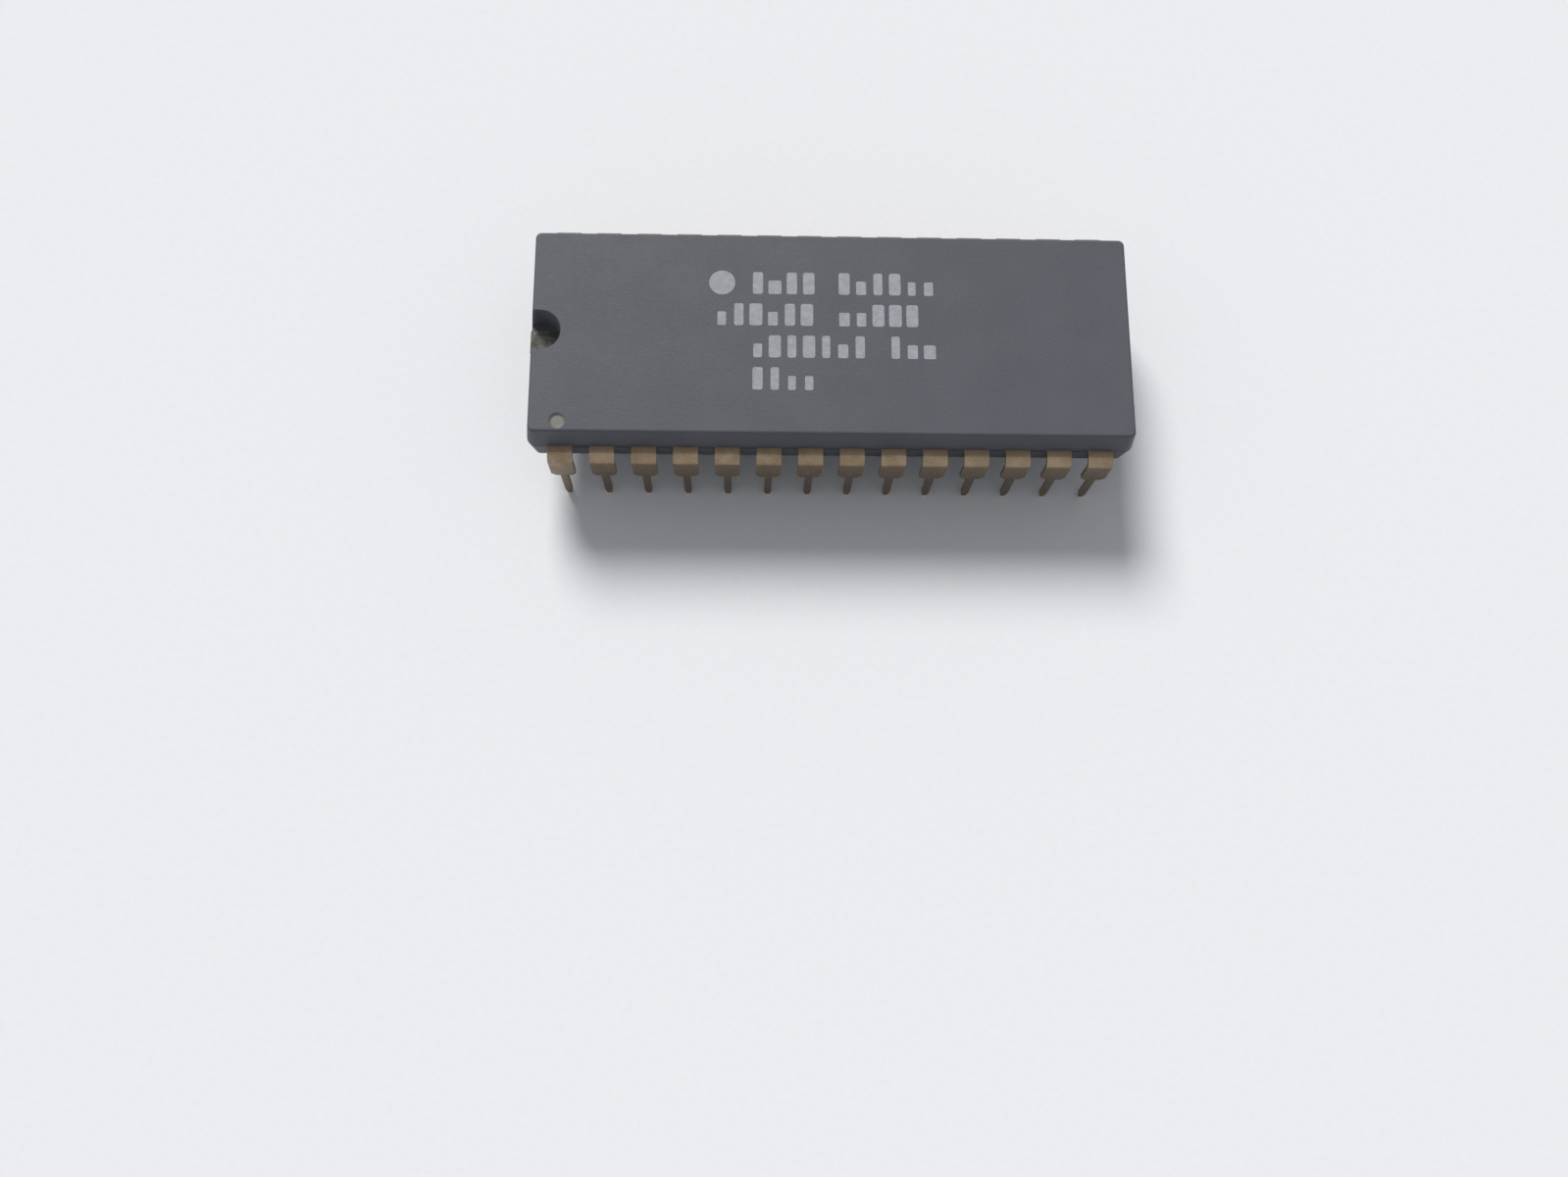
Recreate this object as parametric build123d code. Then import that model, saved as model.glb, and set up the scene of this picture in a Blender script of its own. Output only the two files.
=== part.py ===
from build123d import *
import math
import os

# A 28-lead mask-programmed memory chip in a plastic dual in-line package, in millimetres.
# The chip stands on its lead tips at z = 0. X runs along the body, with the notch end at -X.
# Lead 1 is at the front left (-X, -Y), and the numbers go round against the clock seen from above.
# Inside the moulding are a stamped frame of fingers, a die on its paddle, and one gold wire to each lead.

# Lead rows
leads_per_quarter = 7
pitch = 2.54
row_spacing = 15.24        # between the mid-planes of the two rows of legs
lead_thickness = 0.25

# Leg of a lead, outside the body
leg_below_seat = 3.3       # from the tip up to the stop that sits on the board
standoff = 0.51            # from that stop up to the body's underside
wide_width = 1.52
stop_width = 0.96
stop_taper = 0.32
narrow_width = 0.46
tip_width = 0.26
tip_taper = 0.55
bend_radius = 0.3          # inside of the bend

# Moulded body
shoulder_reach = 0.82      # from the body's side, at the parting line, to the mid-plane of the legs
end_margin = 2.03          # from the last lead's centre to the body's end, at the parting line
upper_height = 1.97        # parting plane to top face
lower_height = 1.97        # parting plane to underside
draft_angle = 8.0
corner_radius = 0.35       # at the top face and at the underside
face_edge_radius = 0.16
web_reach = 0.1            # resin that ran out between the leads, as thick as they are

# Marks in the body
notch_radius = 1.3
notch_inset = 0.45         # from the top face's end to the centre of the notch's round part
notch_draft = 6.0
dimple_diameter = 1.0
dimple_depth = 0.12
dimple_slope = 0.12        # how much narrower the dimple's flat floor is, all round
dimple_side_gap = 0.66     # from the dimple's centre to the top face's front edge
ejector_diameter = 2.6
ejector_depth = 0.1
ejector_spacing = 24.0
gate_width = 2.4           # the broken-off gate that the resin came in through
gate_height = 0.7
gate_reach = 0.08
gate_root = 0.4            # how far its block runs into the body

# Frame inside the body
lock_depth = 0.42          # how far the wide part of a lead goes into the body
root_width = 1.1           # a finger narrows to this once it is locked in the resin
turn_run = 0.4             # from the end of that narrowing to where a finger turns towards the die
finger_width = 0.38
side_fingers = 3           # fingers of one quarter that reach the paddle's long side
side_tip_pitch = 0.8
side_tip_run = 1.0         # straight run of the innermost of them
end_tip_pitch = 0.65
tip_gap = 0.4              # paddle edge to fingertips
tie_gap = 0.26             # tie bar to the nearest finger
tie_width = 0.6
tie_end_width = 1.5
tie_end_length = 3.2
tie_stub = 0.04            # what the trim tool leaves past the body's end
paddle_margin = 0.6        # paddle past the die
paddle_drop = 0.3          # the paddle is set down below the leads
drop_start = 0.2           # paddle edge to the step in the tie bar
drop_angle = 45.0

# Die, its glue and its wires
die_length = 4.6
die_width = 3.6
die_thickness = 0.4
glue_thickness = 0.03
glue_margin = 0.15
pad_inset = 0.16
side_pad_pitch = 0.62
end_pad_pitch = 0.38
end_pad_start = 0.25
wire_diameter = 0.033
ball_diameter = 0.1
ball_height = 0.03
wire_flats = 6             # the round wire is drawn with this many flats
neck_height = 0.07
loop_height = 0.22         # top of the loop above the die
loop_top_at = 0.25         # share of the span from the ball to the top of the loop
landing_inset = 0.26       # fingertip to the end of the wire
stitch_length = 0.1        # the flat end of the wire that lies on the finger

# Levels and reaches that follow from these
seat_level = leg_below_seat
underside_level = seat_level + standoff
frame_level = underside_level + lower_height
top_level = frame_level + upper_height
frame_top = frame_level + lead_thickness / 2
frame_bottom = frame_level - lead_thickness / 2

row_half = row_spacing / 2
leg_inside = row_half - lead_thickness / 2
leg_outside = row_half + lead_thickness / 2
bend_start = leg_inside - bend_radius

draft_tan = math.tan(math.radians(draft_angle))
half_length = (leads_per_quarter - 0.5) * pitch + end_margin
half_width = row_half - shoulder_reach
top_half_length = half_length - upper_height * draft_tan
top_half_width = half_width - upper_height * draft_tan

lock_y = half_width - lock_depth
root_y = lock_y - (wide_width - root_width) / 2
turn_y = root_y - turn_run

paddle_half_length = die_length / 2 + paddle_margin
paddle_half_width = die_width / 2 + paddle_margin
paddle_top = frame_top - paddle_drop
die_bottom = paddle_top + glue_thickness
die_top = die_bottom + die_thickness


def quarter_x(k):
    """Distance from the body's middle to the k-th lead of a quarter, counted from the middle."""
    return (k + 0.5) * pitch


def drafted_half(height, direction):
    """One half of the body: a block that narrows away from the parting plane."""
    parting_plane = Plane(origin=(0, 0, frame_level), z_dir=(0, 0, direction))
    outline = RectangleRounded(2 * half_length, 2 * half_width, corner_radius + height * draft_tan)
    block = extrude(parting_plane * outline, amount=height, taper=draft_angle)
    far_face = block.faces().sort_by(Axis.Z)[-1 if direction > 0 else 0]
    return fillet(far_face.edges(), face_edge_radius)


def fingertip(k):
    """Centre of the k-th finger's tip, beside the paddle."""
    if k < side_fingers:
        return ((k + 0.5) * side_tip_pitch, paddle_half_width + tip_gap)
    rows_from_tie = leads_per_quarter - 1 - k
    first_row = tie_width / 2 + tie_gap + finger_width / 2
    return (paddle_half_length + tip_gap, first_row + rows_from_tie * end_tip_pitch)


def finger_route(k):
    """Centreline points of the k-th finger, from the bend to its tip, each with its width."""
    x = quarter_x(k)
    tip_x, tip_y = fingertip(k)
    if k < side_fingers:
        knee = (tip_x, tip_y + side_tip_run * (1 - k / side_fingers))
    else:
        knee = (x - (turn_y - tip_y), tip_y)
    return [
        (x, bend_start, wide_width),
        (x, lock_y, wide_width),
        (x, root_y, root_width),
        (x, turn_y, root_width),
        (*knee, finger_width),
        (tip_x, tip_y, finger_width),
    ]


def ribbon(route):
    """A flat strip that follows a route of (x, y, width), mitred at its turns."""
    left, right = [], []
    for i, (x, y, width) in enumerate(route):
        here = Vector(x, y)
        before = Vector(*route[max(i - 1, 0)][:2])
        after = Vector(*route[min(i + 1, len(route) - 1)][:2])
        into = (here - before) if i > 0 else (after - here)
        out = (after - here) if i < len(route) - 1 else into
        middle = into.normalized() + out.normalized()
        normal = Vector(-middle.Y, middle.X).normalized()
        half_angle = math.radians(into.get_angle(out)) / 2
        reach = width / 2 / math.cos(half_angle)
        left.append(here + normal * reach)
        right.append(here - normal * reach)
    return make_face(Polyline(*left, *reversed(right), close=True))


def flat_finger(k):
    """The part of a lead that stays in the frame's plane, inside the body and just outside it."""
    return extrude(Plane.XY.offset(frame_bottom) * ribbon(finger_route(k)), amount=lead_thickness)


def formed_leg(k):
    """The bend and the leg of a lead, with its wide part, its stop on the board, and its tip."""
    outer_radius = bend_radius + lead_thickness
    bend_level = frame_bottom - bend_radius
    side = [
        RadiusArc((bend_start, frame_top), (leg_outside, bend_level), outer_radius),
        Polyline(
            (leg_outside, bend_level), (leg_outside, 0), (leg_inside, 0), (leg_inside, bend_level)
        ),
        RadiusArc((leg_inside, bend_level), (bend_start, frame_bottom), -bend_radius),
        Line((bend_start, frame_bottom), (bend_start, frame_top)),
    ]
    strip = extrude(Plane.YZ * make_face(side), amount=wide_width / 2, both=True)
    half_outline = [
        (wide_width / 2, frame_top + lead_thickness),
        (wide_width / 2, seat_level + stop_taper),
        (stop_width / 2, seat_level),
        (narrow_width / 2, seat_level),
        (narrow_width / 2, tip_taper),
        (tip_width / 2, 0),
    ]
    mirrored = [(-x, z) for x, z in reversed(half_outline)]
    outline = make_face(Polyline(*half_outline, *mirrored, close=True))
    front = extrude(Plane.XZ * outline, amount=-(leg_outside + lead_thickness))
    return Pos(quarter_x(k), 0, 0) * (strip & front)


def lead(k):
    """One whole lead of the quarter at +X, +Y."""
    return (flat_finger(k) + formed_leg(k)).clean()


def paddle():
    """The plate under the die, with a tie bar to each end, stepped up to the frame's plane."""
    end_x = half_length + tie_stub
    step_x = paddle_half_length + drop_start
    step_end = step_x + paddle_drop / math.tan(math.radians(drop_angle))
    mitre = lead_thickness * math.tan(math.radians(drop_angle / 2))
    paddle_bottom = paddle_top - lead_thickness
    side = Polyline(
        (0, paddle_top), (step_x, paddle_top), (step_end, frame_top), (end_x, frame_top),
        (end_x, frame_bottom), (step_end + mitre, frame_bottom), (step_x + mitre, paddle_bottom),
        (0, paddle_bottom), close=True,
    )
    strip = extrude(Plane.XZ * make_face(side), amount=paddle_half_width, both=True)
    end_start = end_x - tie_end_length
    half_outline = [
        (0, paddle_half_width),
        (paddle_half_length, paddle_half_width),
        (paddle_half_length, tie_width / 2),
        (end_start, tie_width / 2),
        (end_start + (tie_end_width - tie_width) / 2, tie_end_width / 2),
        (end_x, tie_end_width / 2),
    ]
    mirrored = [(x, -y) for x, y in reversed(half_outline)]
    outline = make_face(Polyline(*half_outline, *mirrored, close=True))
    half = strip & extrude(outline, amount=top_level)
    return (half + mirror(half, about=Plane.YZ)).clean()


def plate(length, width, thickness, bottom):
    """A flat block in the middle of the chip, with its underside at the given level."""
    standing = (Align.CENTER, Align.CENTER, Align.MIN)
    return Pos(0, 0, bottom) * Box(length, width, thickness, align=standing)


def bond_ends(k):
    """Where the k-th wire starts on the die and where it ends on its finger."""
    tip_x, tip_y = fingertip(k)
    if k < side_fingers:
        pad = Vector((k + 0.5) * side_pad_pitch, die_width / 2 - pad_inset)
        return pad, Vector(tip_x, tip_y + landing_inset)
    rows_from_tie = leads_per_quarter - 1 - k
    pad = Vector(die_length / 2 - pad_inset, end_pad_start + rows_from_tie * end_pad_pitch)
    return pad, Vector(tip_x + landing_inset, tip_y)


def bond_wire(k):
    """One gold wire: a ball on the die, a rising neck, a long loop, and a flat stitch on the finger."""
    pad, landing = bond_ends(k)
    span = landing - pad
    reach = span.length
    along = span.normalized()
    x_dir = (along.X, along.Y, 0)
    upright = Plane(origin=(pad.X, pad.Y, 0), x_dir=x_dir, z_dir=(along.Y, -along.X, 0))
    ball_top = die_top + ball_height
    resting = frame_top + wire_diameter / 2
    loop = [
        (0, ball_top), (0, ball_top + neck_height), (loop_top_at * reach, die_top + loop_height),
        (reach - stitch_length, resting), (reach, resting),
    ]
    path = upright * Polyline(*loop)
    flat_up = 180 / wire_flats
    flat_radius = wire_diameter / 2 / math.cos(math.pi / wire_flats)
    section_plane = Plane(origin=(pad.X, pad.Y, ball_top), x_dir=x_dir, z_dir=(0, 0, 1))
    section = section_plane * RegularPolygon(flat_radius, wire_flats, rotation=flat_up)
    wire = sweep(section, path=path, transition=Transition.RIGHT)
    ball_plane = Plane(origin=(pad.X, pad.Y, die_top), x_dir=x_dir, z_dir=(0, 0, 1))
    ball_outline = RegularPolygon(ball_diameter / 2, wire_flats, rotation=flat_up)
    ball = extrude(ball_plane * ball_outline, amount=ball_height)
    return wire + ball


def outer_form():
    """The moulding as it looks from outside, before room is made for what it encloses."""
    upper = drafted_half(upper_height, 1)
    lower = drafted_half(lower_height, -1)
    last_lead = leads_per_quarter - 1
    row_length = 2 * quarter_x(last_lead) + wide_width
    webs = plate(row_length, 2 * (half_width + web_reach), lead_thickness, frame_bottom)
    gate = Pos(half_length + gate_reach, 0, frame_bottom) * Box(
        gate_reach + gate_root, gate_width, gate_height, align=(Align.MAX, Align.CENTER, Align.MAX)
    )
    form = upper + lower + webs + gate

    notch_run = 2 * (notch_inset + notch_radius)
    notch_centre = notch_inset - top_half_length - notch_run / 2
    notch_plane = Plane(origin=(notch_centre, 0, top_level), z_dir=(0, 0, -1))
    notch = extrude(
        notch_plane * SlotCenterToCenter(notch_run, 2 * notch_radius),
        amount=top_level - frame_top, taper=notch_draft
    )
    standing = (Align.CENTER, Align.CENTER, Align.MIN)
    dimple_y = dimple_side_gap - top_half_width
    dimple = Pos(-quarter_x(last_lead), dimple_y, top_level - dimple_depth) * Cone(
        dimple_diameter / 2 - dimple_slope, dimple_diameter / 2, dimple_depth, align=standing
    )
    ejectors = [
        Pos(x, 0, underside_level) * Cylinder(ejector_diameter / 2, ejector_depth, align=standing)
        for x in (-ejector_spacing / 2, ejector_spacing / 2)
    ]
    return form - notch - dimple - ejectors


def lead_number(k, x_sign, y_sign):
    """The number printed in data sheets for the k-th lead of a quarter."""
    n = leads_per_quarter
    if y_sign < 0:
        return n - k if x_sign < 0 else n + 1 + k
    return 3 * n - k if x_sign > 0 else 3 * n + 1 + k


def in_quarter(shape, x_sign, y_sign):
    """A copy of a piece of the quarter at +X, +Y, mirrored into another quarter."""
    if x_sign < 0:
        shape = mirror(shape, about=Plane.YZ)
    if y_sign < 0:
        shape = mirror(shape, about=Plane.XZ)
    return shape


pieces = {}
for k in range(leads_per_quarter):
    one_lead = lead(k)
    one_wire = bond_wire(k)
    for x_sign in (-1, 1):
        for y_sign in (-1, 1):
            number = lead_number(k, x_sign, y_sign)
            pieces[f"lead_{number:02d}"] = in_quarter(one_lead, x_sign, y_sign)
            pieces[f"bond_wire_{number:02d}"] = in_quarter(one_wire, x_sign, y_sign)

pieces["die_paddle"] = paddle()
pieces["die_glue"] = plate(
    die_length + 2 * glue_margin, die_width + 2 * glue_margin, glue_thickness, paddle_top
)
pieces["die"] = plate(die_length, die_width, die_thickness, die_bottom)

enclosed = list(pieces.values())
pieces["moulded_body"] = outer_form() - enclosed

os.makedirs("parts", exist_ok=True)
for name, piece in sorted(pieces.items()):
    export_step(piece, f"parts/{name}.step")
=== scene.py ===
import bpy
import math
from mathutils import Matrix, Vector


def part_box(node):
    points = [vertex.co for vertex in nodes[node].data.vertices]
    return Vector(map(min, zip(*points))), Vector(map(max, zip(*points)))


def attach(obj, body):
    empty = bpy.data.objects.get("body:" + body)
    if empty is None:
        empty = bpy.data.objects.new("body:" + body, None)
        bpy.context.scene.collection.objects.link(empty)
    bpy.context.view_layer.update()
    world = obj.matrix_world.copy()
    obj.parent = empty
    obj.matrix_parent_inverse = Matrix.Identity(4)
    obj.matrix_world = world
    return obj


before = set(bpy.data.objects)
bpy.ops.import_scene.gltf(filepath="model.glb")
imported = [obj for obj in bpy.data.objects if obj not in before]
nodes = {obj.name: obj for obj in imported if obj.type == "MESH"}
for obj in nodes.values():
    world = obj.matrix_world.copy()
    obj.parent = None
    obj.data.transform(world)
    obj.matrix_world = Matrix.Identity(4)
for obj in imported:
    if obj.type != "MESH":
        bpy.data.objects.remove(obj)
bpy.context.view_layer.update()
scene = bpy.context.scene
mm = 0.001
print("frame loaded:", len(nodes), "nodes")

# places that the looks need, read from the frame
bodyLow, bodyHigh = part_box("moulded_body")
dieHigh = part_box("die")[1]
leadNames = sorted(name for name in nodes if name.startswith("lead_"))
wireNames = sorted(name for name in nodes if name.startswith("bond_wire_"))
topLevel = bodyHigh.z
undersideLevel = bodyLow.z
bodyHalfWidth = bodyHigh.y
leadHalfWidth = 0.76 * mm        # of the wide upper leg
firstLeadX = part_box("lead_01")[0].x + leadHalfWidth
print("places read from the frame")

ownTrees = []                    # every node tree made here, laid out at the end
layout = {"columnWidth": 220, "rowHeight": 240}


# a value is a number, a colour, a place or another node's output
def feed(tree, socket, value):
    if isinstance(value, bpy.types.NodeSocket):
        tree.links.new(value, socket)
    elif value is not None:
        socket.default_value = value


def addNode(tree, kind, sockets=None, **settings):
    node = tree.nodes.new(kind)
    for name, value in settings.items():
        setattr(node, name, value)
    for label, value in (sockets or {}).items():
        feed(tree, node.inputs[label], value)
    return node


def calc(tree, operation, a, b=None, clamp=False):
    node = addNode(tree, "ShaderNodeMath", {0: a, 1: b}, operation=operation, use_clamp=clamp)
    return node.outputs[0]


def plus(tree, a, b):
    return calc(tree, "ADD", a, b)


def times(tree, a, b, clamp=False):
    return calc(tree, "MULTIPLY", a, b, clamp)


# 1 where a value is nearer to 0 than a limit
def within(tree, value, limit):
    return calc(tree, "LESS_THAN", calc(tree, "ABSOLUTE", value), limit)


# a soft step as a value goes from low to high
def ramp(tree, value, low, high, toLow=0.0, toHigh=1.0):
    node = addNode(tree, "ShaderNodeMapRange", {
        "Value": value, "From Min": low, "From Max": high, "To Min": toLow, "To Max": toHigh,
    }, interpolation_type="SMOOTHSTEP")
    return node.outputs["Result"]


# one number where a mask is 0, another where it is 1
def between(tree, mask, atNone, atFull):
    return ramp(tree, mask, 0.0, 1.0, atNone, atFull)


# inputs 0, 6 and 7 of this node are the share and the two colours, and output 2 the mixed one
def blendColour(tree, share, a, b):
    return addNode(tree, "ShaderNodeMix", {0: share, 6: a, 7: b}, data_type="RGBA").outputs[2]


# lays colours over a ground in turn, each by its own mask
def layColours(tree, ground, *layers):
    for mask, colour in layers:
        ground = blendColour(tree, mask, ground, colour)
    return ground


# puts each node left of all that it feeds
def arrange(tree):
    column = {node.name: 0 for node in tree.nodes}
    moved = True
    while moved:
        moved = False
        for link in tree.links:
            source, wanted = link.from_node.name, column[link.to_node.name] + 1
            if column[source] < wanted:
                column[source] = wanted
                moved = True
    filled = {}
    for node in tree.nodes:
        place = column[node.name]
        row = filled.get(place, 0)
        filled[place] = row + 1
        node.location = (-layout["columnWidth"] * place, -layout["rowHeight"] * row)


floatSocket = "NodeSocketFloat"
countSocket = "NodeSocketInt"
vectorSocket = "NodeSocketVector"
materialSocket = "NodeSocketMaterial"
geometrySocket = "NodeSocketGeometry"


# a tree with named inputs (label, kind, first value) and outputs (label, kind)
def newTree(name, kind, ins, outs):
    tree = bpy.data.node_groups.new(name, kind)
    ownTrees.append(tree)
    for label, socketKind, value in ins:
        socket = tree.interface.new_socket(label, in_out="INPUT", socket_type=socketKind)
        if value is not None:
            socket.default_value = value
    for label, socketKind in outs:
        tree.interface.new_socket(label, in_out="OUTPUT", socket_type=socketKind)
    return tree, addNode(tree, "NodeGroupInput").outputs, addNode(tree, "NodeGroupOutput").inputs


# levels inside the shared effects
effects = {
    "mottleLevels": (0.3, 0.7),      # noise that becomes 0 and 1
    "speckRim": (0.12, 0.34),        # from a speck's middle, as a share of its cell
    "edgeSamples": 6,
    "scratchDetail": 4.0,
    "scratchStart": 0.75,            # noise where a line starts, at a share of 0
    "scratchReach": 0.4,             # how far a share of 1 lowers that
    "scratchFull": 0.8,
}


# mottle: soft cloudy noise with a feature size in metres, 0 to 1
def makeMottle():
    tree, given, result = newTree("mottle", "ShaderNodeTree", [
        ("Place", vectorSocket, None), ("Size", floatSocket, 1 * mm), ("Detail", floatSocket, 3.0),
    ], [("Value", floatSocket)])
    noise = addNode(tree, "ShaderNodeTexNoise", {
        "Vector": given["Place"], "Scale": calc(tree, "DIVIDE", 1.0, given["Size"]),
        "Detail": given["Detail"],
    })
    feed(tree, result["Value"], ramp(tree, noise.outputs[0], *effects["mottleLevels"]))
    return tree


# specks: sparse round grains, 1 inside a grain
def makeSpecks():
    tree, given, result = newTree("specks", "ShaderNodeTree", [
        ("Place", vectorSocket, None), ("Size", floatSocket, 0.2 * mm), ("Share", floatSocket, 0.3),
    ], [("Mask", floatSocket)])
    cells = addNode(tree, "ShaderNodeTexVoronoi", {
        "Vector": given["Place"], "Scale": calc(tree, "DIVIDE", 1.0, given["Size"]),
    })
    dot = ramp(tree, cells.outputs["Distance"], *effects["speckRim"], 1.0, 0.0)
    picked = calc(tree, "LESS_THAN", cells.outputs["Color"], given["Share"])
    feed(tree, result["Mask"], times(tree, dot, picked))
    return tree


# wornEdge: 1 along sharp outer edges, and the normal of a slightly rounded edge
def makeWornEdge():
    tree, given, result = newTree("wornEdge", "ShaderNodeTree", [
        ("Width", floatSocket, 0.05 * mm), ("Gain", floatSocket, 4.0),
    ], [("Mask", floatSocket), ("Normal", vectorSocket)])
    soft = addNode(tree, "ShaderNodeBevel", {"Radius": given["Width"]},
                   samples=effects["edgeSamples"]).outputs[0]
    plain = addNode(tree, "ShaderNodeNewGeometry").outputs["Normal"]
    match = addNode(tree, "ShaderNodeVectorMath", {0: soft, 1: plain}, operation="DOT_PRODUCT")
    bend = calc(tree, "SUBTRACT", 1.0, match.outputs["Value"])
    feed(tree, result["Mask"], times(tree, bend, given["Gain"], clamp=True))
    feed(tree, result["Normal"], soft)
    return tree


# scratches: fine lines along one axis, 1 in a line
def makeScratches():
    tree, given, result = newTree("scratches", "ShaderNodeTree", [
        ("Place", vectorSocket, None), ("Stretch", vectorSocket, (1.0, 1.0, 1.0)),
        ("Share", floatSocket, 0.3),
    ], [("Mask", floatSocket)])
    squeezed = addNode(tree, "ShaderNodeVectorMath", {0: given["Place"], 1: given["Stretch"]},
                       operation="MULTIPLY")
    noise = addNode(tree, "ShaderNodeTexNoise", {
        "Vector": squeezed.outputs[0], "Scale": 1.0, "Detail": effects["scratchDetail"],
    })
    start = calc(tree, "SUBTRACT", effects["scratchStart"],
                 times(tree, given["Share"], effects["scratchReach"]))
    feed(tree, result["Mask"], ramp(tree, noise.outputs[0], start, effects["scratchFull"]))
    return tree


mottle = makeMottle()
specks = makeSpecks()
wornEdge = makeWornEdge()
scratches = makeScratches()
print("shared shader groups made")


def addMottle(tree, place, size, detail):
    values = {"Place": place, "Size": size, "Detail": detail}
    return addNode(tree, "ShaderNodeGroup", values, node_tree=mottle).outputs["Value"]


def addSpecks(tree, place, size, share):
    values = {"Place": place, "Size": size, "Share": share}
    return addNode(tree, "ShaderNodeGroup", values, node_tree=specks).outputs["Mask"]


def addWornEdge(tree, width, gain):
    values = {"Width": width, "Gain": gain}
    return addNode(tree, "ShaderNodeGroup", values, node_tree=wornEdge).outputs


def addScratches(tree, place, stretch, share):
    values = {"Place": place, "Stretch": stretch, "Share": share}
    return addNode(tree, "ShaderNodeGroup", values, node_tree=scratches).outputs["Mask"]


def addBump(tree, shader, height, distance, strength, under=None):
    bump = addNode(tree, "ShaderNodeBump", {
        "Strength": strength, "Distance": distance, "Height": height, "Normal": under,
    })
    feed(tree, shader.inputs["Normal"], bump.outputs[0])


def axesOf(tree, vector):
    return addNode(tree, "ShaderNodeSeparateXYZ", {0: vector}).outputs


# 1 inside a round spot on a level face, soft over a small rim
def roundSpot(tree, place, centre, radius, rim):
    away = addNode(tree, "ShaderNodeVectorMath", {0: place, 1: centre}, operation="DISTANCE")
    return ramp(tree, away.outputs["Value"], radius, radius + rim, 1.0, 0.0)


def newMaterial(name, constants):
    material = bpy.data.materials.new(name)
    material.use_nodes = True
    tree = material.node_tree
    tree.nodes.clear()
    ownTrees.append(tree)
    shader = addNode(tree, "ShaderNodeBsdfPrincipled", constants)
    addNode(tree, "ShaderNodeOutputMaterial", {"Surface": shader.outputs[0]})
    place = addNode(tree, "ShaderNodeTexCoord").outputs["Object"]
    return material, tree, shader, place


# In the dictionaries of finishes, clouds, patches, bands and grain give a size and a detail,
# specks and flakes a size and a share, scratches a stretch along each axis and a share,
# an edge a width and a gain, and a bump a distance and a strength.
resin = {
    "dark": (0.067, 0.072, 0.088, 1.0),
    "light": (0.077, 0.082, 0.099, 1.0),
    "speck": (0.135, 0.138, 0.148, 1.0),
    # edge: paler along the edges, partly real wear and partly a painted highlight of the edge
    # catching the light
    "edge": (0.15, 0.15, 0.152, 1.0),
    # polished: a paler, warmer colour in the dimple and the ejector marks, a painted reflection of
    # the light in their smooth floors
    "polished": (0.200, 0.190, 0.165, 1.0),
    "broken": (0.13, 0.128, 0.125, 1.0),
    "specular": 0.31,
    "clouds": (4.0 * mm, 2.0),
    "patches": (0.55 * mm, 4.0),
    "grain": (0.075 * mm, 2.0),
    "specks": (0.11 * mm, 0.36),
    "scratches": ((420.0, 5200.0, 5200.0), 0.2),
    "wornEdge": (0.10 * mm, 1.4),
    "patchTint": 0.06,           # share of the speck colour in a patch, a grain and a mark
    "grainTint": 0.13,
    "markTint": 0.3,
    "wornPatch": (0.1, 0.9),     # patch levels from the least to the most wear and painted highlight on an edge
    "edgeWearAndHighlightTint": (0.25, 0.9),
    "roughness": (0.52, 0.565),
    "brokenRoughness": 0.25,     # added where the gate broke off
    "bump": (0.009 * mm, 0.75),
    "gateFace": 18.56 * mm,
    "dimple": (firstLeadX, -5.86 * mm, topLevel),
    "dimpleRadius": 0.46 * mm,
    "ejectorX": 12.0 * mm,
    "ejectorDepth": 0.1 * mm,
    "ejectorRadius": 1.25 * mm,
    "spotRim": 0.05 * mm,        # of the dimple and the ejector marks
    "spotReflectionTint": 0.85,
    "spotPolish": 0.2,           # how much smoother they are
    "spotGrain": 0.25,           # how much grain is left in them
}


def makeResin():
    material, tree, shader, place = newMaterial("moulded_resin", {
        "Specular IOR Level": resin["specular"],
    })
    cloud = addMottle(tree, place, *resin["clouds"])
    patch = addMottle(tree, place, *resin["patches"])
    grain = addMottle(tree, place, *resin["grain"])
    speck = addSpecks(tree, place, *resin["specks"])
    line = addScratches(tree, place, *resin["scratches"])
    edge = addWornEdge(tree, *resin["wornEdge"])
    spots = roundSpot(tree, place, resin["dimple"], resin["dimpleRadius"], resin["spotRim"])
    for side in (-1, 1):
        centre = (side * resin["ejectorX"], 0, undersideLevel + resin["ejectorDepth"])
        spot = roundSpot(tree, place, centre, resin["ejectorRadius"], resin["spotRim"])
        spots = calc(tree, "MAXIMUM", spots, spot)
    broken = calc(tree, "GREATER_THAN", axesOf(tree, place)["X"], resin["gateFace"])
    fine = plus(tree, times(tree, patch, resin["patchTint"]),
                times(tree, grain, resin["grainTint"]))
    # paler edges: real wear and a painted highlight
    edgeWearAndHighlight = times(tree, edge["Mask"], ramp(tree, patch, *resin["wornPatch"], *resin["edgeWearAndHighlightTint"]))
    feed(tree, shader.inputs["Base Color"], layColours(
        tree, blendColour(tree, cloud, resin["dark"], resin["light"]),
        (fine, resin["speck"]),
        (times(tree, calc(tree, "MAXIMUM", speck, line), resin["markTint"]), resin["speck"]),
        (edgeWearAndHighlight, resin["edge"]),
        # painted reflection in the dimple and the ejector marks
        (times(tree, spots, resin["spotReflectionTint"]), resin["polished"]),
        (broken, resin["broken"]),
    ))
    rough = calc(tree, "SUBTRACT", between(tree, patch, *resin["roughness"]),
                 times(tree, spots, resin["spotPolish"]))
    rough = plus(tree, rough, times(tree, broken, resin["brokenRoughness"]))
    feed(tree, shader.inputs["Roughness"], rough)
    moulded = times(tree, grain, between(tree, spots, 1.0, resin["spotGrain"]))
    height = plus(tree, moulded, times(tree, broken, patch))
    addBump(tree, shader, height, *resin["bump"], under=edge["Normal"])
    return material


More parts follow.
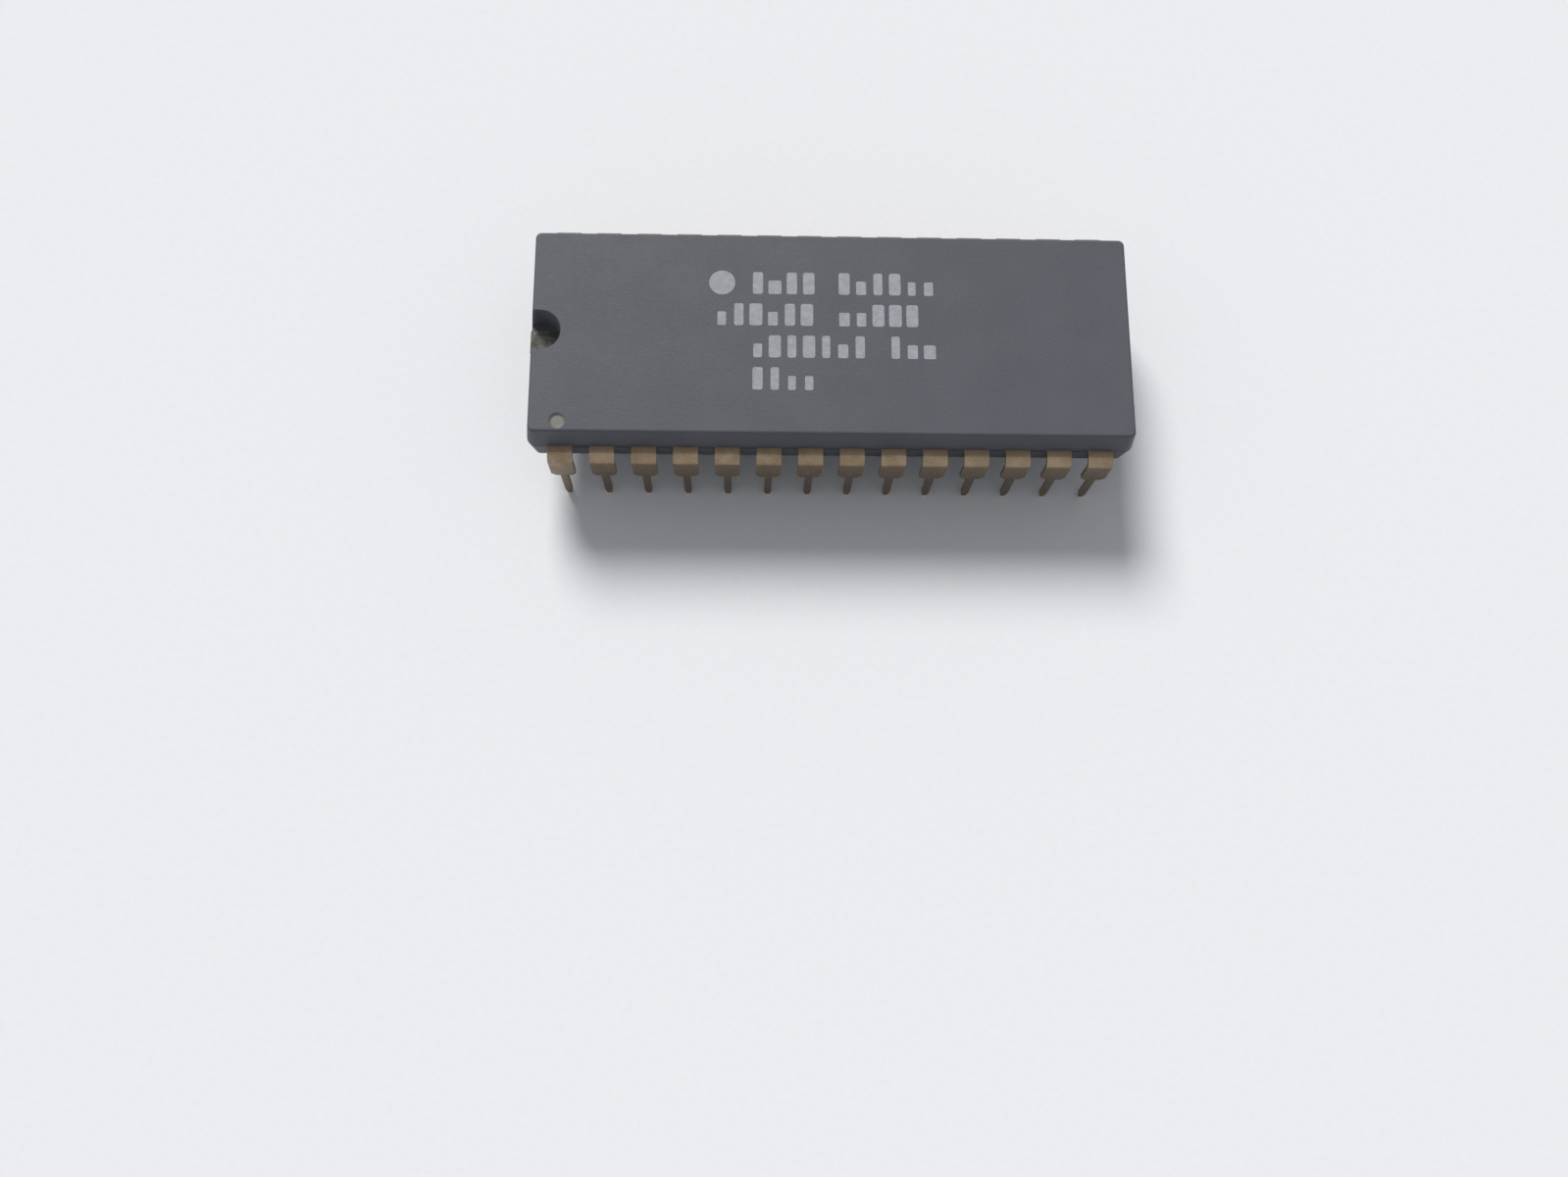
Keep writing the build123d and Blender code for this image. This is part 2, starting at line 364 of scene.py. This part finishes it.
tin = {
    "clean": (0.325, 0.248, 0.172, 1.0),
    "tarnish": (0.198, 0.142, 0.089, 1.0),
    # low: painted shade, darker towards the bottom of the legs
    "low": (0.165, 0.135, 0.100, 1.0),
    "bright": (0.56, 0.50, 0.41, 1.0),
    "cut": (0.34, 0.235, 0.155, 1.0),
    "inner": (0.50, 0.47, 0.43, 1.0),
    "bands": (9.0 * mm, 1.0),
    "clouds": (1.1 * mm, 3.0),
    "patches": (0.16 * mm, 4.0),
    "scratches": ((9000.0, 9000.0, 900.0), 0.4),
    "wornEdge": (0.035 * mm, 1.6),
    "cloudShare": 0.45,          # parts of the clean tin's mask
    "patchShare": 0.25,
    "bandShare": 0.3,
    "legShadeTint": 0.7,
    "lineTint": 0.3,
    "edgeTint": 0.45,
    "cutTint": 0.45,
    "tipTint": 0.8,
    "legTop": 5.3 * mm,          # the painted shade of the legs grows from here down to legLow
    "legLow": 2.2 * mm,
    "cutFacing": 0.7,            # a cut side looks at least this much along the row
    "tipFacing": -0.9,           # and a cut tip this much down
    "innerFrom": 0.1 * mm,       # tarnish ends between these depths inside the moulding
    "innerTo": 0.25 * mm,
    "roughness": (0.50, 0.36),
    "bump": (0.003 * mm, 0.45),
}


def makeTin():
    material, tree, shader, place = newMaterial("tarnished_tin", {"Metallic": 1.0})
    band = addMottle(tree, place, *tin["bands"])
    cloud = addMottle(tree, place, *tin["clouds"])
    patch = addMottle(tree, place, *tin["patches"])
    line = addScratches(tree, place, *tin["scratches"])
    edge = addWornEdge(tree, *tin["wornEdge"])
    along = axesOf(tree, place)
    facing = axesOf(tree, addNode(tree, "ShaderNodeNewGeometry").outputs["Normal"])
    inside = ramp(tree, calc(tree, "ABSOLUTE", along["Y"]), bodyHalfWidth - tin["innerTo"],
                  bodyHalfWidth - tin["innerFrom"], 1.0, 0.0)
    low = ramp(tree, along["Z"], tin["legLow"], tin["legTop"], 1.0, 0.0)
    cut = calc(tree, "GREATER_THAN", calc(tree, "ABSOLUTE", facing["X"]), tin["cutFacing"])
    tip = calc(tree, "LESS_THAN", facing["Z"], tin["tipFacing"])
    bare = calc(tree, "MAXIMUM", times(tree, cut, tin["cutTint"]), times(tree, tip, tin["tipTint"]))
    broad = times(tree, band, tin["bandShare"])
    clean = plus(tree, times(tree, cloud, tin["cloudShare"]),
                 plus(tree, times(tree, patch, tin["patchShare"]), broad))
    feed(tree, shader.inputs["Base Color"], layColours(
        tree, blendColour(tree, clean, tin["tarnish"], tin["clean"]),
        # painted shade on the lower legs
        (times(tree, low, tin["legShadeTint"]), tin["low"]),
        (times(tree, line, tin["lineTint"]), tin["bright"]),
        (times(tree, edge["Mask"], tin["edgeTint"]), tin["bright"]),
        (bare, tin["cut"]),
        (inside, tin["inner"]),
    ))
    feed(tree, shader.inputs["Roughness"], between(tree, clean, *tin["roughness"]))
    addBump(tree, shader, plus(tree, patch, line), *tin["bump"], under=edge["Normal"])
    return material


plateMetal = {
    "dull": (0.40, 0.37, 0.33, 1.0),
    "clear": (0.56, 0.53, 0.49, 1.0),
    "bright": (0.75, 0.73, 0.70, 1.0),
    # stained: the bare tie-bar ends, partly a real stain and partly painted shade in the notch,
    # hence near black
    "stainedAndShaded": (0.040, 0.038, 0.028, 1.0),
    "clouds": (1.2 * mm, 3.0),
    "patches": (0.2 * mm, 3.0),
    "scratches": ((700.0, 9000.0, 9000.0), 0.5),
    "lineTint": 0.5,
    "roughness": (0.42, 0.3),
    "openFrom": 16.6 * mm,       # past this the notch or the end face leaves the tie bars bare
    "stainTint": (1.0, 0.8),
    "stainMetallic": 0.15,
    "stainRoughness": 0.3,       # added where they are stained
    "bump": (0.003 * mm, 0.4),
}


def makeFrameMetal():
    material, tree, shader, place = newMaterial("bare_frame_metal", {})
    cloud = addMottle(tree, place, *plateMetal["clouds"])
    patch = addMottle(tree, place, *plateMetal["patches"])
    line = addScratches(tree, place, *plateMetal["scratches"])
    reach = calc(tree, "ABSOLUTE", axesOf(tree, place)["X"])
    bare = calc(tree, "GREATER_THAN", reach, plateMetal["openFrom"])
    # stain and painted shade on the bare tie-bar ends
    stainAndShade = times(tree, bare, between(tree, patch, *plateMetal["stainTint"]))
    feed(tree, shader.inputs["Base Color"], layColours(
        tree, blendColour(tree, cloud, plateMetal["dull"], plateMetal["clear"]),
        (times(tree, line, plateMetal["lineTint"]), plateMetal["bright"]),
        (stainAndShade, plateMetal["stainedAndShaded"]),
    ))
    feed(tree, shader.inputs["Metallic"], between(tree, bare, 1.0, plateMetal["stainMetallic"]))
    rough = between(tree, cloud, *plateMetal["roughness"])
    rough = plus(tree, rough, times(tree, bare, plateMetal["stainRoughness"]))
    feed(tree, shader.inputs["Roughness"], rough)
    addBump(tree, shader, line, *plateMetal["bump"])
    return material


glue = {
    "dull": (0.34, 0.34, 0.35, 1.0),
    "clear": (0.5, 0.5, 0.5, 1.0),
    "flake": (0.72, 0.72, 0.72, 1.0),
    "patches": (0.08 * mm, 4.0),
    "flakes": (0.05 * mm, 0.5),
    "flakeMetallic": 0.8,
    "roughness": (0.65, 0.4),
    "bump": (0.006 * mm, 0.6),
}


def makeGlue():
    material, tree, shader, place = newMaterial("silver_glue_paste", {})
    patch = addMottle(tree, place, *glue["patches"])
    flake = addSpecks(tree, place, *glue["flakes"])
    feed(tree, shader.inputs["Base Color"], layColours(
        tree, blendColour(tree, patch, glue["dull"], glue["clear"]),
        (flake, glue["flake"]),
    ))
    feed(tree, shader.inputs["Metallic"], times(tree, flake, glue["flakeMetallic"]))
    feed(tree, shader.inputs["Roughness"], between(tree, patch, *glue["roughness"]))
    addBump(tree, shader, patch, *glue["bump"])
    return material


silicon = {
    "field": (0.045, 0.055, 0.085, 1.0),
    "array": (0.11, 0.10, 0.16, 1.0),
    "track": (0.30, 0.30, 0.34, 1.0),
    "roughness": 0.16,
    "coat": 0.3,
    "border": 0.45 * mm,         # plain silicon round the blocks
    "blockPitch": (0.62 * mm, 0.82 * mm),
    "blockFill": 0.82,
    "blockMetallic": 0.6,
    "linePitch": 0.035 * mm,
    "lineFill": 0.5,
    "lineTint": 0.6,
}


# 1 inside the cells of a grid laid out from the die's middle
def gridCells(tree, value, pitch, fill):
    turn = calc(tree, "FRACT", calc(tree, "DIVIDE", value, pitch))
    return within(tree, calc(tree, "SUBTRACT", turn, 0.5), fill / 2)


def makeSilicon():
    material, tree, shader, place = newMaterial("polished_silicon", {
        "Roughness": silicon["roughness"], "Coat Weight": silicon["coat"],
    })
    along = axesOf(tree, place)
    pitchX, pitchY = silicon["blockPitch"]
    cells = times(tree, gridCells(tree, along["X"], pitchX, silicon["blockFill"]),
                  gridCells(tree, along["Y"], pitchY, silicon["blockFill"]))
    field = times(tree, within(tree, along["X"], dieHigh.x - silicon["border"]),
                  within(tree, along["Y"], dieHigh.y - silicon["border"]))
    blocks = times(tree, cells, field)
    stripes = gridCells(tree, along["X"], silicon["linePitch"], silicon["lineFill"])
    lines = times(tree, blocks, stripes)
    feed(tree, shader.inputs["Base Color"], layColours(
        tree, blendColour(tree, blocks, silicon["field"], silicon["array"]),
        (times(tree, lines, silicon["lineTint"]), silicon["track"]),
    ))
    feed(tree, shader.inputs["Metallic"], times(tree, blocks, silicon["blockMetallic"]))
    return material


gold = {
    "deep": (0.86, 0.58, 0.20, 1.0),
    "pale": (0.98, 0.74, 0.32, 1.0),
    "patches": (0.05 * mm, 2.0),
    "roughness": (0.3, 0.18),
}


def makeGold():
    material, tree, shader, place = newMaterial("gold_wire", {"Metallic": 1.0})
    patch = addMottle(tree, place, *gold["patches"])
    feed(tree, shader.inputs["Base Color"], blendColour(tree, patch, gold["deep"], gold["pale"]))
    feed(tree, shader.inputs["Roughness"], between(tree, patch, *gold["roughness"]))
    return material


ink = {
    "pale": (0.360, 0.368, 0.405, 1.0),
    "thin": (0.250, 0.256, 0.278, 1.0),
    "specular": 0.3,
    "patches": (0.35 * mm, 4.0),
    "grain": (0.06 * mm, 2.0),
    "roughness": (0.75, 0.55),
    "bump": (0.004 * mm, 0.4),
}


def makeInk():
    material, tree, shader, place = newMaterial("printing_ink", {
        "Specular IOR Level": ink["specular"],
    })
    patch = addMottle(tree, place, *ink["patches"])
    grain = addMottle(tree, place, *ink["grain"])
    cover = calc(tree, "MAXIMUM", patch, grain)
    feed(tree, shader.inputs["Base Color"], blendColour(tree, cover, ink["thin"], ink["pale"]))
    feed(tree, shader.inputs["Roughness"], between(tree, grain, *ink["roughness"]))
    addBump(tree, shader, grain, *ink["bump"])
    return material


def dress(names, material):
    for name in names:
        for slot in nodes[name].material_slots:
            slot.material = material


dress(["moulded_body"], makeResin())
dress(leadNames, makeTin())
dress(["die_paddle"], makeFrameMetal())
dress(["die_glue"], makeGlue())
dress(["die"], makeSilicon())
dress(wireNames, makeGold())
inkMaterial = makeInk()
print("materials made and given to the nodes")


# runs a geometry tree with the given input values and keeps its result as a plain mesh
def runBuilder(tree, name, values):
    carrier = bpy.data.objects.new(name + "_carrier", bpy.data.meshes.new(name + "_carrier"))
    scene.collection.objects.link(carrier)
    modifier = carrier.modifiers.new("build", "NODES")
    modifier.node_group = tree
    for item in tree.interface.items_tree:
        if item.item_type == "SOCKET" and item.in_out == "INPUT" and item.name in values:
            modifier[item.identifier] = values[item.name]
    bpy.context.view_layer.update()
    evaluated = carrier.evaluated_get(bpy.context.evaluated_depsgraph_get())
    mesh = bpy.data.meshes.new_from_object(evaluated)
    mesh.name = name
    carrier.modifiers.remove(modifier)
    bpy.data.objects.remove(carrier)
    piece = bpy.data.objects.new(name, mesh)
    scene.collection.objects.link(piece)
    return piece


# printed marks: plain blocks and a dot, which spell nothing
marks = {
    "sink": 0.006 * mm,          # how far the ink reaches into the face
    "thickness": 0.012 * mm,
    "weld": 1e-4 * mm,           # joins the edges of a plate's two faces
    "blockWidth": 0.80 * mm,
    "blockHeight": 1.46 * mm,
    "corner": 0.15 * mm,
    "cornerSteps": 3,
    "pitch": 1.04 * mm,
    "narrowest": 0.55,
    "shortShare": 0.3,
    "shortHeight": 0.62,
    "shortSeedStep": 7,          # from the seed of the widths to the seed of the heights
    "rows": [                    # left end, base line, blocks, seed
        (-4.55 * mm, 2.55 * mm, 4, 5),
        (0.75 * mm, 2.55 * mm, 6, 6),
        (-6.75 * mm, 0.45 * mm, 6, 8),
        (0.75 * mm, 0.45 * mm, 5, 11),
        (-4.55 * mm, -1.65 * mm, 7, 23),
        (3.85 * mm, -1.65 * mm, 3, 24),
        (-4.55 * mm, -3.75 * mm, 4, 31),
    ],
    "dotCentre": (-6.75 * mm, 3.28 * mm),
    "dotRadius": 0.80 * mm,
    "dotSides": 48,
}


# closed thin plate inside a closed curve, raised by a thickness
def thickened(tree, curve, thickness):
    flat = addNode(tree, "GeometryNodeFillCurve", {"Curve": curve}, mode="NGONS").outputs[0]
    raised = addNode(tree, "GeometryNodeExtrudeMesh", {
        "Mesh": flat, "Offset Scale": thickness, "Individual": False,
    }, mode="FACES")
    under = addNode(tree, "GeometryNodeFlipFaces", {0: flat})
    both = addNode(tree, "GeometryNodeJoinGeometry")
    for half in (raised, under):
        feed(tree, both.inputs[0], half.outputs[0])
    welded = addNode(tree, "GeometryNodeMergeByDistance", {
        "Geometry": both.outputs[0], "Distance": marks["weld"],
    })
    return welded.outputs[0]


# a row of plain ink blocks on one base line, of mixed widths and heights
def makeBlockRow():
    tree, given, result = newTree("blockRow", "GeometryNodeTree", [
        ("Start", vectorSocket, None), ("Count", countSocket, 8), ("Pitch", floatSocket, 1 * mm),
        ("Block Width", floatSocket, 0.6 * mm), ("Block Height", floatSocket, 1.5 * mm),
        ("Corner", floatSocket, 0.1 * mm), ("Narrowest", floatSocket, 0.6),
        ("Short Share", floatSocket, 0.4), ("Short Height", floatSocket, 0.6),
        ("Thickness", floatSocket, 0.01 * mm), ("Seed", countSocket, 1),
        ("Material", materialSocket, None),
    ], [("Geometry", geometrySocket)])
    step = addNode(tree, "ShaderNodeCombineXYZ", {"X": given["Pitch"]})
    line = addNode(tree, "GeometryNodeMeshLine", {
        "Count": given["Count"], "Start Location": given["Start"], "Offset": step.outputs[0],
    }, mode="OFFSET")
    outline = addNode(tree, "GeometryNodeCurvePrimitiveQuadrilateral", {
        "Width": given["Block Width"], "Height": given["Block Height"],
    })
    rounded = addNode(tree, "GeometryNodeFilletCurve", {
        "Curve": outline.outputs[0], "Radius": given["Corner"], "Count": marks["cornerSteps"],
    }, mode="POLY")
    lift = addNode(tree, "ShaderNodeCombineXYZ", {"Y": times(tree, given["Block Height"], 0.5)})
    seated = addNode(tree, "GeometryNodeTransform", {
        "Geometry": thickened(tree, rounded.outputs[0], given["Thickness"]),
        "Translation": lift.outputs[0],
    })
    # inputs 2 and 3 of this node are its lowest and highest number, and output 1 the number drawn
    wide = addNode(tree, "FunctionNodeRandomValue", {
        2: given["Narrowest"], "Seed": given["Seed"],
    }, data_type="FLOAT")
    chance = addNode(tree, "FunctionNodeRandomValue", {
        "Seed": plus(tree, given["Seed"], marks["shortSeedStep"]),
    }, data_type="FLOAT")
    short = calc(tree, "LESS_THAN", chance.outputs[1], given["Short Share"])
    drop = calc(tree, "SUBTRACT", 1.0, given["Short Height"])
    tall = calc(tree, "SUBTRACT", 1.0, times(tree, short, drop))
    size = addNode(tree, "ShaderNodeCombineXYZ", {"X": wide.outputs[1], "Y": tall, "Z": 1.0})
    copies = addNode(tree, "GeometryNodeInstanceOnPoints", {
        "Points": line.outputs[0], "Instance": seated.outputs[0], "Scale": size.outputs[0],
    })
    real = addNode(tree, "GeometryNodeRealizeInstances", {0: copies.outputs[0]})
    painted = addNode(tree, "GeometryNodeSetMaterial", {
        "Geometry": real.outputs[0], "Material": given["Material"],
    })
    feed(tree, result["Geometry"], painted.outputs[0])
    return tree


# one plain round ink dot
def makeDot():
    tree, given, result = newTree("dot", "GeometryNodeTree", [
        ("Centre", vectorSocket, None), ("Radius", floatSocket, 0.9 * mm),
        ("Thickness", floatSocket, 0.01 * mm), ("Material", materialSocket, None),
    ], [("Geometry", geometrySocket)])
    ring = addNode(tree, "GeometryNodeCurvePrimitiveCircle", {
        "Resolution": marks["dotSides"], "Radius": given["Radius"],
    }, mode="RADIUS")
    placed = addNode(tree, "GeometryNodeTransform", {
        "Geometry": thickened(tree, ring.outputs[0], given["Thickness"]),
        "Translation": given["Centre"],
    })
    painted = addNode(tree, "GeometryNodeSetMaterial", {
        "Geometry": placed.outputs[0], "Material": given["Material"],
    })
    feed(tree, result["Geometry"], painted.outputs[0])
    return tree


def seatMark(piece):
    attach(piece, "root")


def makeMarks():
    level = topLevel - marks["sink"]
    printed = {"Thickness": marks["thickness"], "Material": inkMaterial}
    block = {
        "Pitch": marks["pitch"], "Block Width": marks["blockWidth"],
        "Block Height": marks["blockHeight"], "Corner": marks["corner"],
        "Narrowest": marks["narrowest"], "Short Share": marks["shortShare"],
        "Short Height": marks["shortHeight"],
    }
    rowTree = makeBlockRow()
    for number, (left, base, count, seed) in enumerate(marks["rows"], 1):
        seatMark(runBuilder(rowTree, f"ink_row_{number}", {
            "Start": (left, base, level), "Count": count, "Seed": seed, **block, **printed,
        }))
    seatMark(runBuilder(makeDot(), "ink_dot", {
        "Centre": (*marks["dotCentre"], level), "Radius": marks["dotRadius"], **printed,
    }))


makeMarks()
print("ink marks made")


studio = {
    "floorSize": 3.0,
    "floorColour": (0.86, 0.868, 0.895, 1.0),
    "fibreColour": (0.845, 0.852, 0.878, 1.0),
    "fibres": (0.4 * mm, 5.0),
    "worldColour": (0.93, 0.96, 1.0, 1.0),
    "worldStrength": 0.32,
    "backgroundColour": (0.830, 0.841, 0.865, 1.0),
    "sunFrom": (-0.25, 0.66, 0.71),
    "sunStrength": 3.0,
    "sunSpreadDegrees": 22.0,
    "sunColour": (1.0, 0.99, 0.97),
}


def makeFloor():
    half = studio["floorSize"] / 2
    corners = [(-half, -half, 0), (half, -half, 0), (half, half, 0), (-half, half, 0)]
    mesh = bpy.data.meshes.new("floor")
    mesh.from_pydata(corners, [], [(0, 1, 2, 3)])
    floor = bpy.data.objects.new("floor", mesh)
    scene.collection.objects.link(floor)
    material, tree, shader, place = newMaterial("floor_paper", {
        "Roughness": 1.0, "Specular IOR Level": 0.0,
    })
    fibre = addMottle(tree, place, *studio["fibres"])
    feed(tree, shader.inputs["Base Color"],
         blendColour(tree, fibre, studio["fibreColour"], studio["floorColour"]))
    # seen from below, the floor lets the underside show
    surface = addNode(tree, "ShaderNodeMixShader", {
        0: addNode(tree, "ShaderNodeNewGeometry").outputs["Backfacing"],
        1: shader.outputs[0],
        2: addNode(tree, "ShaderNodeBsdfTransparent").outputs[0],
    })
    feed(tree, tree.nodes["Material Output"].inputs["Surface"], surface.outputs[0])
    mesh.materials.append(material)


def makeWorld():
    world = bpy.data.worlds.new("studio")
    scene.world = world
    world.use_nodes = True
    tree = world.node_tree
    tree.nodes.clear()
    ownTrees.append(tree)
    light = addNode(tree, "ShaderNodeBackground", {
        "Color": studio["worldColour"], "Strength": studio["worldStrength"],
    })
    seen = addNode(tree, "ShaderNodeBackground", {"Color": studio["backgroundColour"]})
    rays = addNode(tree, "ShaderNodeLightPath").outputs
    direct = calc(tree, "MAXIMUM", rays["Is Camera Ray"], rays["Is Glossy Ray"])
    surface = addNode(tree, "ShaderNodeMixShader", {
        0: calc(tree, "MAXIMUM", direct, rays["Is Transmission Ray"]),
        1: light.outputs[0],
        2: seen.outputs[0],
    })
    addNode(tree, "ShaderNodeOutputWorld", {"Surface": surface.outputs[0]})


def makeSun():
    sun = bpy.data.lights.new("window_light", "SUN")
    sun.energy = studio["sunStrength"]
    sun.angle = math.radians(studio["sunSpreadDegrees"])
    sun.color = studio["sunColour"]
    holder = bpy.data.objects.new("window_light", sun)
    holder.rotation_euler = (-Vector(studio["sunFrom"])).to_track_quat("-Z", "Y").to_euler()
    scene.collection.objects.link(holder)


# a plain pinhole camera fitted to the photograph's outline of the top face and the front leads
view = {
    "place": (-5.185 * mm, -38.085 * mm, 90.291 * mm),
    "turnDegrees": (14.890, -1.558, 0.018),
    "focalPixels": 1500.0,
    "pictureWidth": 1599.0,
    "sensorWidth": 36.0,
    "clipStart": 1 * mm,
    "clipEnd": 20.0,
}


def makeCamera():
    camera = bpy.data.cameras.new("camera")
    camera.sensor_fit = "HORIZONTAL"
    camera.sensor_width = view["sensorWidth"]
    camera.lens = view["sensorWidth"] * view["focalPixels"] / view["pictureWidth"]
    camera.clip_start = view["clipStart"]
    camera.clip_end = view["clipEnd"]
    holder = bpy.data.objects.new("camera", camera)
    holder.location = view["place"]
    holder.rotation_euler = [math.radians(turn) for turn in view["turnDegrees"]]
    scene.collection.objects.link(holder)
    scene.camera = holder


makeFloor()
makeWorld()
makeSun()
makeCamera()
scene.view_settings.view_transform = "Standard"
print("floor, light and camera made")

for tree in ownTrees:
    arrange(tree)
print("node trees laid out")
